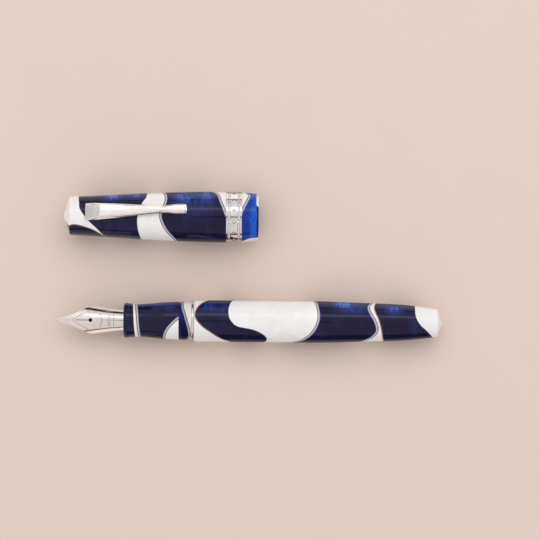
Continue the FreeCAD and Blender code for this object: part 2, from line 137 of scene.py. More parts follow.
def turned(name, profile, place, closed=False, relief=None, segments=SEGMENTS):
    """Solid turned about the part's axis. profile runs over (station, radius); relief changes a radius by its
    station and angle. The angle starts at the top and grows towards +Y. Returns the object and each vertex's
    station, angle and radius."""
    angles = 2 * math.pi * np.arange(segments) / segments
    rows, where = [], []
    for x, r in profile:
        if r < TINY:
            rows.append([len(where)])
            where.append((x, 0.0, 0.0))
            continue
        rows.append(list(range(len(where), len(where) + segments)))
        radii = np.full(segments, r) if relief is None else relief(x, r, angles)
        where += list(zip(np.full(segments, x), angles, radii))
    where = np.array(where)
    pairs = list(zip(rows, rows[1:])) + ([(rows[-1], rows[0])] if closed else [])
    faces = []
    for a, b in pairs:
        for i in range(segments):
            j = (i + 1) % segments
            if len(a) == 1:
                faces.append((a[0], b[i], b[j]))
            elif len(b) == 1:
                faces.append((a[i], b[0], a[j]))
            else:
                faces.append((a[i], b[i], b[j], a[j]))
    x, angle, r = where.T
    cy, cz = place["centre"]
    verts = np.column_stack([x + place["front"], cy + r * np.sin(angle), cz + r * np.cos(angle)]) * MM
    obj = mesh_object(name, verts, faces)
    outwards(obj)
    return obj, where


def outwards(obj):
    """Turns every face's normal to the outside."""
    work = bmesh.new()
    work.from_mesh(obj.data)
    bmesh.ops.recalc_face_normals(work, faces=work.faces)
    work.to_mesh(obj.data)
    work.free()


def attribute(obj, name, values):
    """Writes one number per vertex, for the materials to read."""
    layer = obj.data.attributes.new(name, "FLOAT", "POINT")
    layer.data.foreach_set("value", np.asarray(values, np.float32))


# ---------------------------------------------------------------- marbling
# A vein is a border between white and navy resin: its kind, then (station in mm, angle in degrees) points.
# A vein that goes all the way round runs from 180 degrees down to -180 and ends at the station it started at.
BARREL_VEINS = [
    ("gold", [(11, 180), (9, 125), (4.8, 80), (2.5, 56), (0.9, 35), (0.4, 18), (1, 3), (3, -15), (6.2, -35),
              (9.8, -60), (12.5, -80), (14, -125), (11, -180)]),
    ("plain", [(20, 180), (17, 130), (13.4, 86), (11.8, 45), (11.7, 17), (12.7, -1), (14.8, -14), (19.4, -22),
               (21.9, -30), (23.9, -43), (24.6, -58), (23.9, -75), (21.5, -110), (20, -180)]),
    ("double", [(33, 180), (37.5, 130), (40.5, 84), (41.6, 50), (42.1, 25), (42, 5), (41, -17), (39.3, -38),
                (36.8, -60), (33.8, -80), (30.5, -125), (33, -180)]),
    ("double", [(54, 180), (58.5, 130), (60, 90), (58.8, 52), (59.3, 31), (60.6, 10), (61.5, -10),
                (61.6, -28), (60.1, -48), (57.6, -68), (55.1, -90), (52, -130), (54, -180)]),
    ("gold", [(62.5, 180), (62.6, 130), (61.6, 90), (60.8, 52), (61.3, 29), (62.3, 8), (63, -14), (63.5, -39),
              (64, -90), (63.2, -140), (62.5, -180)]),
    ("plain", [(77, 180), (75.5, 130), (74.6, 90), (74.5, 39), (75, 14), (76.4, -9), (78.6, -33), (80.4, -72),
               (80, -120), (77, -180)]),
]
SECTION_VEINS = [
    ("plain", [(-20.3, 180), (-20.7, 100), (-20.3, 0), (-19.8, -90), (-20.3, -180)]),
    ("double", [(-18.9, 180), (-19.5, 100), (-18.9, 0), (-18.2, -90), (-18.9, -180)]),
    ("double", [(-5.0, 12), (-7, -4), (-8.8, -23), (-9.9, -47), (-10.1, -81), (-9.4, -112), (-7, -135),
                (-5.0, -142)]),
]
THREAD_VEINS = [
    ("double", [(-3.6, 180), (-4.2, 130), (-4.1, 90), (-3.9, 44), (-3.2, 21), (-2.7, 5), (-2.1, -13),
                (-1.7, -30), (-1.5, -50), (-1.9, -66), (-2.9, -110), (-3.6, -180)]),
]
CAP_VEINS = [
    ("gold", [(1.1, -48), (2.3, -31), (4.1, -27), (7.3, -33), (10.6, -45), (13.2, -65), (14.3, -83),
              (15, -110), (13.5, -142), (9, -158), (4, -150), (1.4, -120), (0.8, -80), (1.1, -48)]),
    ("plain", [(15, 180), (9, 140), (6, 105), (5.2, 74), (5.4, 42), (5.7, 21), (7.1, 2), (9, -17), (12, -43),
               (15, -83), (18, -120), (19, -150), (15, -180)]),
    ("plain", [(28.5, 180), (29, 125), (28.2, 77), (27.9, 54), (26.5, 33), (25.2, 1), (25, -15), (25.3, -38),
               (26.2, -73), (27.3, -120), (28.5, -180)]),
    ("double", [(37, 180), (34.3, 130), (33.7, 90), (34.6, 59), (34.7, 41), (34.2, 28), (33, 5), (33.3, -11),
                (34.9, -34), (37, -57), (38.1, -77), (39.5, -125), (37, -180)]),
    ("double", [(54, 180), (50.5, 130), (49.9, 90), (52, 61), (52.9, 39), (53.9, 21), (54.6, 8), (56, -20),
                (57.5, -90), (56.5, -140), (54, -180)]),
]
LIP_VEINS = [
    ("double", [(59.8, 180), (60.4, 130), (61, 90), (62.7, 64), (62.4, 49), (61.3, 28), (60.2, 10),
                (59.5, -20), (59.2, -60), (59.2, -120), (59.8, -180)]),
    ("plain", [(59.0, -72), (60.7, -69), (62.9, -60), (65.3, -61), (67, -75), (67, -120), (63, -130),
               (59.0, -120), (59.0, -72)]),
    ("plain", [(65.02, 31), (65.0, 50), (65.0, 75), (65.02, 97), (66.4, 101), (67, 65), (66.4, 27),
               (65.02, 31)]),
]
# Pearly clouds in the navy resin: station, angle, length along the pen, length round it in degrees, strength.
# A strength below zero darkens: the lip's last one is painted shade on the inner part of the mouth.
BARREL_CLOUDS = [
    (5, 50, 4, 30, 0.45), (10, 40, 2, 40, 0.35), (50.5, 68, 6, 34, 1.0), (55, 40, 7, 24, 0.35),
    (67.5, 48, 4, 30, 0.8), (46, -120, 7, 40, 0.6), (57, 150, 6, 50, 0.5), (69, -140, 6, 45, 0.6),
    (15, -150, 6, 45, 0.5),
]
SECTION_CLOUDS = [
    (-13, 75, 5, 35, 0.45), (-8, 60, 3, 35, 0.4), (-12, -150, 6, 60, 0.5), (-22.5, 100, 2, 50, 0.4),
]
THREAD_CLOUDS = [(-4.5, 10, 3, 90, 0.35), (-4, 170, 3, 60, 0.3)]
CAP_CLOUDS = [
    (16.5, 66, 4, 30, 0.85), (24.5, 68, 4, 28, 0.8), (41, 55, 5, 34, 0.7), (48, 58, 4, 42, 0.75),
    (44, 20, 8, 30, 0.25), (20, -140, 7, 45, 0.6), (45, -135, 8, 50, 0.6), (50, 160, 5, 50, 0.6),
    (7, -100, 5, 40, 0.3),
]
LIP_CLOUDS = [
    (65.2, 20, 2.6, 200, 1.0), (65.2, -60, 2.6, 120, 1.0), (65.2, 160, 2.6, 160, 1.0),
    # The last cloud here is painted shade, darkening the inner part of the mouth all round
    (62, 20, 4, 200, 0.3), (62, -140, 4, 160, 0.3), (65.55, 0, 0.5, 1000, -3.0),
]
# Thin lines beside a vein, drawn in this order: the kind of vein that has it (None for all), its distance
# from the vein in mm with the white side positive, its width in mm, its strength and its colour
VEIN_LINES = [
    (None, 0.0, 0.16, 0.8, (0.05, 0.03, 0.03)),
    ("gold", 0.02, 0.34, 1.0, (0.32, 0.17, 0.08)),
    ("double", -0.25, 0.20, 1.0, (0.14, 0.27, 0.50)),
    ("double", 0.0, 0.30, 1.0, (0.60, 0.56, 0.62)),
    ("double", 0.35, 0.36, 1.0, (0.23, 0.12, 0.07)),
]


def border_segments(veins, radius):
    """Both ends of every short piece of every vein, and whether that vein is gold or double. They are
    unrolled to millimetres and repeated one turn either way."""
    starts, ends, gold, double = [], [], [], []
    for kind, points in veins:
        fine = smooth([(x, math.radians(a) * radius) for x, a in points], 0.5)
        for turn in (-1, 0, 1):
            shifted = fine + np.array([0, turn * 2 * math.pi * radius])
            starts.append(shifted[:-1])
            ends.append(shifted[1:])
            gold.append(np.full(len(fine) - 1, kind == "gold"))
            double.append(np.full(len(fine) - 1, kind == "double"))
    return np.vstack(starts), np.vstack(ends), np.concatenate(gold), np.concatenate(double)


def marble(obj, where, radius, veins, clouds, first="white", within=None):
    """Writes each vertex's signed distance from the nearest vein (white side positive), that vein's kind, and
    how pearly the navy is there, less where a cloud of negative strength paints shade. where has the
    vertices' stations and angles, and radius is the one the angles are unrolled at. first is the colour in
    front of the first vein. within picks the vertices."""
    x, angle, _ = where.T
    angle = np.where(angle > math.pi, angle - 2 * math.pi, angle)
    a, b, gold, double = border_segments(veins, radius)
    p = np.column_stack([x, angle * radius])
    side = np.zeros(len(p), int)
    nearest = np.full(len(p), 1e9)
    is_gold, is_double = np.zeros(len(p)), np.zeros(len(p))
    for i in range(len(a)):
        d = b[i] - a[i]
        t = np.clip(((p - a[i]) @ d) / (d @ d), 0, 1)
        gap = np.hypot(*(p - a[i] - t[:, None] * d).T)
        closer = gap < nearest
        nearest[closer] = gap[closer]
        is_gold[closer], is_double[closer] = gold[i], double[i]
        spans = (a[i][1] <= p[:, 1]) != (b[i][1] <= p[:, 1])
        if spans.any():
            cross = a[i][0] + (p[:, 1] - a[i][1]) / (d[1] if d[1] else 1.0) * d[0]
            side += spans & (cross < x)
    white = (side % 2 == 0) == (first == "white")
    pearl_and_shade = np.zeros(len(p))
    for cx, ca, lx, la, strength in clouds:
        turn = (np.degrees(angle) - ca + 180) % 360 - 180
        pearl_and_shade += strength * np.exp(-2 * ((x - cx) / lx) ** 2 - 2 * (turn / la) ** 2)
    values = {"vein": np.where(white, nearest, -nearest), "gold": is_gold, "double": is_double, "pearl_and_shade": pearl_and_shade}
    keep = np.ones(len(p), bool) if within is None else within
    for name, value in values.items():
        layer = obj.data.attributes.get(name) or obj.data.attributes.new(name, "FLOAT", "POINT")
        old = np.zeros(len(p), np.float32)
        layer.data.foreach_get("value", old)
        layer.data.foreach_set("value", np.where(keep, value, old).astype(np.float32))


# ---------------------------------------------------------------- materials
class Nodes:
    """Small helper that adds and links the shader nodes of a new material, or of a world."""

    def __init__(self, name, world=None):
        self.material = world or bpy.data.materials.new(name)
        self.material.use_nodes = True
        self.tree = self.material.node_tree
        self.shader = self.tree.nodes.get("Principled BSDF")

    def add(self, kind, inputs=(), **settings):
        node = self.tree.nodes.new(kind)
        for key, value in settings.items():
            setattr(node, key, value)
        for key, value in dict(inputs).items():
            self.put(node.inputs[key], value)
        return node

    def put(self, socket, value):
        if isinstance(value, bpy.types.NodeSocket):
            self.tree.links.new(value, socket)
        else:
            socket.default_value = value

    def set(self, **inputs):
        for key, value in inputs.items():
            self.put(self.shader.inputs[key.replace("_", " ")], value)

    def math(self, operation, *values, clamp=False):
        node = self.add("ShaderNodeMath", operation=operation, use_clamp=clamp)
        for socket, value in zip(node.inputs, values):
            self.put(socket, value)
        return node.outputs[0]

    def attribute(self, name):
        return self.add("ShaderNodeAttribute", attribute_name=name).outputs["Fac"]

    def mix(self, share, a, b):
        node = self.add("ShaderNodeMix", data_type="RGBA")
        for socket, value in ((node.inputs[0], share), (node.inputs[6], a), (node.inputs[7], b)):
            self.put(socket, value)
        return node.outputs[2]

    def remap(self, value, low, high, to_low=0.0, to_high=1.0, smooth_step=False):
        node = self.add("ShaderNodeMapRange", interpolation_type="SMOOTHSTEP" if smooth_step else "LINEAR")
        for socket, number in zip(node.inputs, (value, low, high, to_low, to_high)):
            self.put(socket, number)
        return node.outputs[0]

    def noise(self, scale, detail=3.0, roughness=0.5, stretch=(1, 1, 1), distortion=0.0):
        """Noise over the object's own place in millimetres, stretched by the given factors."""
        place = self.add("ShaderNodeTexCoord").outputs["Object"]
        mapping = self.add("ShaderNodeMapping", {"Vector": place, "Scale": tuple(s / MM for s in stretch)})
        inputs = {"Vector": mapping.outputs[0], "Scale": scale, "Detail": detail, "Roughness": roughness,
                  "Distortion": distortion}
        return self.add("ShaderNodeTexNoise", inputs).outputs["Fac"]

    def bump(self, height, strength, distance=0.02):
        node = self.add("ShaderNodeBump", {"Height": height, "Strength": strength, "Distance": distance * MM})
        self.put(self.shader.inputs["Normal"], node.outputs[0])


def colour(r, g, b):
    return (r, g, b, 1.0)


MILK_GREY, MILK_WHITE = (0.83, 0.81, 0.82), (0.89, 0.875, 0.88)
BORDER = 0.05  # Half the width in mm over which white turns into navy


def resin_material(name, deep, mid, bright, haze_top):
    """Polished marbled resin: a dark colour with pearly clouds, milky white, and thin lines between them."""
    m = Nodes(name)
    vein, pearl_and_shade = m.attribute("vein"), m.attribute("pearl_and_shade")
    kinds = {"gold": m.attribute("gold"), "double": m.attribute("double")}

    def line(centre, width, soft=0.07):
        """1 on a thin line at this distance from the vein, falling to 0 at its sides."""
        gap = m.math("ABSOLUTE", m.math("SUBTRACT", vein, centre))
        return m.remap(gap, width / 2 - soft, width / 2 + soft, 1.0, 0.0, smooth_step=True)

    wisps = m.noise(0.35, 6, 0.62, (1.6, 0.45, 0.45), 1.2)
    cloud = m.math("MULTIPLY", pearl_and_shade, m.remap(wisps, 0.34, 0.66, 0.25, 1.25))
    haze = m.remap(m.noise(0.12, 4, 0.6, (1.3, 0.8, 0.8), 0.8), 0.48, 0.75, 0.0, haze_top)
    cloud = m.math("ADD", cloud, haze, clamp=True)
    dark = m.mix(m.remap(cloud, 0.0, 0.45), colour(*deep), colour(*mid))
    dark = m.mix(m.remap(cloud, 0.4, 1.0), dark, colour(*bright))
    milky = m.remap(m.noise(0.25, 4, 0.55, (1, 1, 1), 0.6), 0.35, 0.7)
    milk = m.mix(milky, colour(*MILK_GREY), colour(*MILK_WHITE))
    base = m.mix(m.remap(vein, -BORDER, BORDER, smooth_step=True), dark, milk)
    for kind, centre, width, strength, tint in VEIN_LINES:
        share = m.math("MULTIPLY", line(centre, width), strength)
        if kind:
            share = m.math("MULTIPLY", share, kinds[kind])
        base = m.mix(share, base, colour(*tint))
    white = m.remap(vein, -BORDER, BORDER)
    m.set(Base_Color=base, Subsurface_Weight=m.math("MULTIPLY", white, 0.12),
          Subsurface_Radius=(1.0, 0.8, 0.8), Subsurface_Scale=0.6 * MM, IOR=1.46, Specular_IOR_Level=0.3)
    m.set(Roughness=m.remap(m.noise(2.2, 4, 0.6), 0.3, 0.7, 0.05, 0.10))
    m.bump(m.noise(6.0, 2, 0.5, (0.15, 1, 1)), 0.03)
    return m.material


def metal_material(name, tint, roughness=(0.07, 0.15), grain=(0.2, 1, 1), bump=0.05):
    """Metal with a faint polishing grain along the pen, slight haze patches and tiny scratches."""
    m = Nodes(name)
    haze = m.noise(0.5, 4, 0.6)
    scratch = m.noise(9.0, 3, 0.7, grain)
    hazed = colour(*(0.93 * c for c in tint))
    m.set(Base_Color=m.mix(m.remap(haze, 0.3, 0.7), colour(*tint), hazed), Metallic=1.0)
    mixed = m.math("ADD", m.math("MULTIPLY", haze, 0.6), m.math("MULTIPLY", scratch, 0.4))
    m.set(Roughness=m.remap(mixed, 0.3, 0.7, *roughness))
    m.bump(scratch, bump)
    return m


def turned_metal(name, tint, roughness=(0.18, 0.34)):
    """Metal with fine lathe rings."""
    return metal_material(name, tint, roughness, (1, 0.02, 0.02), 0.25).material


def plastic_material(name, tint, roughness=(0.35, 0.5), grain=1.5, bump=0.15):
    """Moulded plastic with a fine matt texture."""
    m = Nodes(name)
    patches = m.noise(0.4, 3)
    lighter = colour(*(min(1.0, 1.25 * c + 0.004) for c in tint))
    m.set(Base_Color=m.mix(patches, colour(*tint), lighter))
    m.set(Roughness=m.remap(m.noise(grain, 4, 0.6), 0.3, 0.7, *roughness))
    m.bump(m.noise(4 * grain, 3, 0.6), bump)
    return m


def pearl_material():
    """Bright mother-of-pearl floor seen through the band."""
    m = Nodes("pearl")
    sheen = m.noise(0.8, 4, 0.6, (1, 1, 1), 1.0)
    m.set(Base_Color=m.mix(sheen, colour(0.86, 0.85, 0.90), colour(0.78, 0.84, 0.92)), Metallic=0.15)
    m.set(Roughness=m.remap(sheen, 0.3, 0.7, 0.18, 0.32))
    m.bump(sheen, 0.08)
    return m.material


def clear_material():
    """Clear moulded plastic with faint drawing lines."""
    m = plastic_material("clear_plastic", (0.93, 0.95, 0.96), (0.04, 0.10), 1.0, 0.03)
    m.set(Transmission_Weight=0.92, IOR=1.49)
    return m.material


def band_material():
    """Pierced plating: bright metal, painted shade darkening the corners of the openings, mother-of-pearl at
    their floors.
    """
    m = metal_material("pierced_plating", PLATING)
    opening = m.attribute("opening")
    metal = m.shader.inputs["Base Color"].links[0].from_socket
    sheen = m.mix(m.noise(0.8, 4, 0.6, (1, 1, 1), 1.0), colour(0.80, 0.80, 0.85), colour(0.70, 0.74, 0.82))
    # Painted shade: dark brown over the eased edge and wall of each opening, where the recess lies in shade
    base = m.mix(m.remap(opening, -0.05, 0.01), metal, colour(0.20, 0.14, 0.11))
    base = m.mix(m.remap(opening, 0.06, 0.12), base, sheen)
    m.set(Base_Color=base, Metallic=m.remap(opening, 0.03, 0.08, 1.0, 0.1))
    return m.material


def nib_material():
    """Polished nib metal with darker engraved lines."""
    m = metal_material("nib_metal", (0.93, 0.885, 0.86), (0.08, 0.16), (0.15, 1, 1), 0.06)
    engraved = m.attribute("engraved")
    plain = m.shader.inputs["Base Color"].links[0].from_socket
    m.set(Base_Color=m.mix(m.remap(engraved, 0.15, 0.8), plain, colour(0.42, 0.35, 0.30)))
    return m.material


PLATING = (0.95, 0.915, 0.895)
MATERIALS = {
    "chrome": metal_material("polished_plating", PLATING).material,
    "resin": resin_material("marbled_resin", (0.007, 0.005, 0.030), (0.018, 0.035, 0.19), (0.06, 0.19, 0.62),
                            0.16),
    "lip": resin_material("blue_resin", (0.006, 0.012, 0.15), (0.005, 0.036, 0.33), (0.004, 0.11, 0.58), 0.3),
    "band": band_material(),
    "pearl": pearl_material(),
    "nib": nib_material(),
    "black": plastic_material("black_plastic", (0.012, 0.012, 0.013)).material,
    "steel": turned_metal("turned_steel", (0.62, 0.61, 0.60)),
    "brass": turned_metal("turned_brass", (0.78, 0.58, 0.27)),
    "clear": clear_material(),
    "rubber": plastic_material("seal_rubber", (0.02, 0.02, 0.02), (0.55, 0.75), 2.0, 0.3).material,
    "liner": plastic_material("liner_plastic", (0.80, 0.79, 0.78), (0.22, 0.36), 1.2, 0.05).material,
    "tipping": turned_metal("tipping_metal", (0.74, 0.73, 0.72), (0.12, 0.25)),
}


def finish_with(obj, key):
    """Gives the object one material."""
    obj.data.materials.clear()
    obj.data.materials.append(MATERIALS[key])


def stand_for(obj, node, body):
    """Puts the object in a CAD node's place, hiding that node, and on its body."""
    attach(obj, body)
    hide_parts(node)


# ---------------------------------------------------------------- resin pieces
def resin_piece(name, node, body, profile, place, veins, clouds, first="white", closed=False, relief=None,
                finish="resin"):
    """Turned and marbled piece in the place of a CAD node."""
    obj, where = turned(name, profile, place, closed, relief)
    marble(obj, where, place["unrolled"], veins, clouds, first)
    finish_with(obj, finish)
    stand_for(obj, node, body)
    return obj, where


BARREL_RADIUS, BARREL_BORE, BUSH_RADIUS, BUSH_BACK = 7.05, 4.75, 6.22, 9.82
BARREL_TAPER = [(40, BARREL_RADIUS), (46, 6.93), (52, 6.73), (58, 6.54), (64, 6.36), (70, 6.08), (76.2, 5.5),
                (82, 4.78)]


def barrel_piece():
    taper = smooth(BARREL_TAPER)
    end = straight([BARREL_TAPER[-1], (82.12, 4.72), (82.25, 4.58), (84.05, 0)], 0.6)
    front = straight([(0, BUSH_RADIUS), (0, 6.72), (0.12, 6.92), (0.35, BARREL_RADIUS)], 0.3)
    inside = straight([(73, 0), (70, BARREL_BORE), (BUSH_BACK, BARREL_BORE), (BUSH_BACK, BUSH_RADIUS),
                       (0, BUSH_RADIUS)], 4.0)
    straight_part = straight([(0.35, BARREL_RADIUS), BARREL_TAPER[0]], 0.4)
    profile = path(inside, front, straight_part, taper, end)
    resin_piece("barrel_resin", "barrel", "barrel", profile, PEN, BARREL_VEINS, BARREL_CLOUDS)


THREAD_ROOT, THREAD_CREST, THREAD_PITCH, THREAD_STARTS = 6.2, 6.65, 0.69, 3
THREAD_SPAN, THREAD_FADE = (-5.0, -1.3), 0.35
THREAD_FACE = -5.1  # Where the grip has stepped down to the thread's root


def cap_thread_relief(x, r, angles):
    """Triangular right-handed ridges on the thread's root, fading in at both ends."""
    low, high = THREAD_SPAN
    if not low < x < high or abs(r - THREAD_ROOT) > TINY:
        return np.full(len(angles), r)
    phase = ((x - low) / THREAD_PITCH + THREAD_STARTS * angles / (2 * math.pi)) % 1.0
    ridge = np.clip(1.12 * (1 - np.abs(2 * phase - 1)) - 0.06, 0, 1)
    fade = min(1.0, (x - low) / THREAD_FADE, (high - x) / THREAD_FADE)
    return r + (THREAD_CREST - THREAD_ROOT) * ridge * fade


def section_piece():
    lip = smooth([(-23.75, 5.35), (-23.6, 5.65), (-23.3, 5.87), (-22.9, 5.95)], 0.1)
    waist = smooth([(-22.9, 5.95), (-21.2, 5.67), (-18.5, 5.5), (-14.5, 5.78), (-10.3, 6.18), (-5.5, 6.43)],
                   0.3)
    thread_end = (THREAD_SPAN[1], THREAD_ROOT)
    step = straight([(-5.5, 6.43), (-5.2, 6.4), (THREAD_FACE, THREAD_ROOT)], 0.1)
    thread = straight([(THREAD_FACE, THREAD_ROOT), thread_end], 0.05)
    back = straight([thread_end, (-1.2, 6.35), (-0.95, 6.35), (-0.95, 4.92)], 0.3)
    bore = straight([(-0.95, 4.92), (-6, 4.92), (-6, 3.75), (-8.2, 3.75), (-8.2, 4.22), (-23.75, 4.22)], 2.0)
    profile = path(lip, waist, step, thread, back, bore)
    obj, where = resin_piece("section_resin", "section_grip", "section", profile, PEN, SECTION_VEINS,
                             SECTION_CLOUDS, "navy", True, cap_thread_relief)
    behind_grip = where[:, 0] > THREAD_FACE - 0.01
    marble(obj, where, PEN["unrolled"], THREAD_VEINS, THREAD_CLOUDS, "navy", behind_grip)


CAP_BORE, CAP_SHOULDER = 6.7, (54.8, 8.6)


def cap_piece():
    cone = straight([(0, 0), (2.05, 6.18)], 0.5)
    edge = smooth([(2.05, 6.18), (2.2, 6.42), (2.45, 6.53)], 0.1)
    swell = smooth([(2.45, 6.53), (9, 6.86), (17, 7.32), (25.2, 7.75), (32, 8.06), (39.4, 8.31), (47, 8.5),
                    CAP_SHOULDER], 0.4)
    tenon = straight([CAP_SHOULDER, (54.8, 7.3), (62, 7.3), (62, CAP_BORE)], 1.0)
    bore = straight([(62, CAP_BORE), (43, CAP_BORE), (43, 6.25), (16.4, 6.25), (16.4, 5.0), (6, 5.0), (6, 0)],
                    2.0)
    profile = path(cone, edge, swell, tenon, bore)
    obj, _ = resin_piece("cap_resin", "cap_shell", "cap", profile, CAP, CAP_VEINS, CAP_CLOUDS)
    clip_slot = cutter_box((8.3, -1.15, 4.6), (11.1, 1.15, 9.0), CLIP_FRAME)
    clip_screw_hole = cutter_rod((3.2, 0, -1.5), (7.2, 0, -1.5), 0.9, CLIP_FRAME)
    cut(obj, clip_slot)
    cut(obj, clip_screw_hole)


def lip_piece():
    flare = smooth([(60.3, 8.58), (61.3, 8.42), (62.4, 8.25), (63.7, 8.1), (65, 8.02)], 0.3)
    mouth = straight([(65, 8.02), (65.06, 7.97), (65.72, 7.42), (65.8, 7.3)], 0.08)
    inside = straight([(65.8, 7.3), (65.8, 7.0), (65.5, CAP_BORE), (62.02, CAP_BORE), (62.02, 7.32),
                       (60.3, 7.32), (60.3, 8.58)], 0.4)
    profile = path(flare, mouth, inside)[:-1]
    resin_piece("cap_lip_resin", "cap_lip", "cap", profile, CAP, LIP_VEINS, LIP_CLOUDS, "white", True,
                finish="lip")


# ---------------------------------------------------------------- pierced band
BAND_FRONT, BAND_BACK, BAND_RADIUS, BAND_BORE = 54.82, 60.28, 8.6, 7.8
BAND_SEGMENTS = 720
# In degrees: from one diamond to the next, where the first one is, and the bridge between two slots
BAND_PITCH, BAND_PHASE, BAND_BRIDGE = 360 / 14, -11.0, 8.0
# In mm: the solid rails at both edges, the slots' width, the openings' depth, their eased edge, the chamfer
BAND_RAIL, BAND_SLOT, BAND_PIERCED, BAND_EASED, BAND_CHAMFER = 0.7, 0.8, 0.28, 0.06, 0.12
DIAMOND = (0.65, 0.78)  # Half its length along the pen and half its width round it


def band_opening(x, angles):
    """How far inside the nearest opening of the band a place is, in millimetres; negative outside them."""
    degrees = np.degrees(angles) - BAND_PHASE
    middle = (BAND_FRONT + BAND_BACK) / 2

    def turn_from(first, pitch):
        return (degrees - first + pitch / 2) % pitch - pitch / 2

    length, width = DIAMOND
    across = np.radians(turn_from(0, BAND_PITCH)) * BAND_RADIUS
    inside = (1 - abs(x - middle) / length - np.abs(across) / width) / math.hypot(1 / length, 1 / width)
    half_turn = BAND_PITCH - BAND_BRIDGE / 2
    along = np.radians(half_turn - np.abs(turn_from(BAND_PITCH, 2 * BAND_PITCH))) * BAND_RADIUS
    slot_middle = (BAND_BACK - BAND_FRONT) / 2 - BAND_RAIL - BAND_SLOT / 2
    beside = BAND_SLOT / 2 - abs(abs(x - middle) - slot_middle)
    return np.maximum(inside, np.minimum(along, beside))


def band_relief(x, r, angles):
    """Eased edge round each opening, then a steep wall down to the pearl."""
    if abs(r - BAND_RADIUS) > TINY:
        return np.full(len(angles), r)
    opening = band_opening(x, angles)
    eased = BAND_EASED * (1 - np.sqrt(1 - np.clip(opening / BAND_EASED + 1, 0, 1) ** 2))
    wall = (BAND_PIERCED - BAND_EASED) * np.clip(opening / BAND_EASED, 0, 1)
    return r - eased - wall


def band_piece():
    first, last, shoulder = BAND_FRONT + BAND_CHAMFER, BAND_BACK - BAND_CHAMFER, BAND_RADIUS - BAND_CHAMFER
    outside = straight([(first, BAND_RADIUS), (last, BAND_RADIUS)], 0.055)
    back = straight([(last, BAND_RADIUS), (BAND_BACK, shoulder), (BAND_BACK, BAND_BORE)])
    front = straight([(BAND_FRONT, BAND_BORE), (BAND_FRONT, shoulder), (first, BAND_RADIUS)])
    inside = straight([(BAND_BACK, BAND_BORE), (BAND_FRONT, BAND_BORE)], 3)
    profile = path(outside, back, inside, front)[:-1]
    obj, where = turned("cap_band_pierced", profile, CAP, True, band_relief, BAND_SEGMENTS)
    outer = where[:, 2] > BAND_BORE + 0.02
    opening = np.array([band_opening(x, np.array([angle]))[0] for x, angle, _ in where])
    attribute(obj, "opening", np.where(outer, opening, -1.0))
    finish_with(obj, "band")
    stand_for(obj, "cap_band", "cap")


# ---------------------------------------------------------------- nib
NIB_TIP, NIB_BACK, NIB_SHOULDER, NIB_HOLE = -46.4, -17.0, -34.0, -34.9
NIB_THICKNESS, NIB_SLIT, HOLE_RADIUS, ENGRAVED_DEPTH = 0.3, 0.2, 0.65, 0.05
NIB_STEP, NIB_COLUMNS = 0.12, 97
# Station, the sheet's radius, the half angle it spans in degrees, and the height of its crown
NIB_CURL = [(-17.0, 3.42, 78, 3.42), (-23.7, 3.42, 88, 3.42), (-26.0, 3.62, 83, 3.42),
            (-28.5, 3.95, 76.5, 3.4), (-31.2, 4.42, 71, 3.3), (-34.0, 5.0, 67, 3.15), (-37.0, 5.65, 53, 2.88),
            (-40.0, 6.3, 40, 2.52), (-43.3, 7.1, 29, 2.05), (-46.7, 8.0, 20, 1.5)]
# Station and half width of the blade in front of the shoulders, seen from above
NIB_PLAN = [(-46.4, 0.42), (-45.2, 0.62), (-42.9, 1.32), (-40.7, 2.12), (-37.8, 3.4), (-36.4, 4.0),
            (-35.4, 4.38), (-34.6, 4.58), (-34.0, 4.6)]


def nib_curl(x):
    """Radius, half angle in degrees and crown height of the sheet at a station."""
    table = smooth(NIB_CURL[::-1], 0.2)
    return [np.interp(x, table[:, 0], table[:, k]) for k in (1, 2, 3)]


def engraving(x, y):
    """Share of the full depth at a place seen from above: a chevron, two arcs, lozenges in a row, a line."""
    depth = np.zeros_like(x)
    far = 9

    def groove(distance, width):
        np.maximum(depth, np.clip(1.4 - np.abs(distance) / width, 0, 1), out=depth)

    chevron = -41.2 + np.abs(y) * 1.72
    groove(np.where(np.abs(y) < 3.3, (x - chevron) * 0.5, far), 0.07)
    for radius in (3.6, 4.1):
        reach = np.hypot(x - NIB_HOLE, y)
        groove(np.where((x > NIB_SHOULDER) & (np.abs(y) < 2.3), reach - radius, far), 0.07)
    for i in range(-2, 3):
        lozenge = np.abs(x + 28.6) / 1.1 + np.abs(y - 0.85 * i) / 0.72
        groove(np.where(lozenge < 1, (lozenge - 0.5) * 0.6, far), 0.08)
    groove(np.where(np.abs(y) < 2.2, x + 27.1, far), 0.06)
    return depth


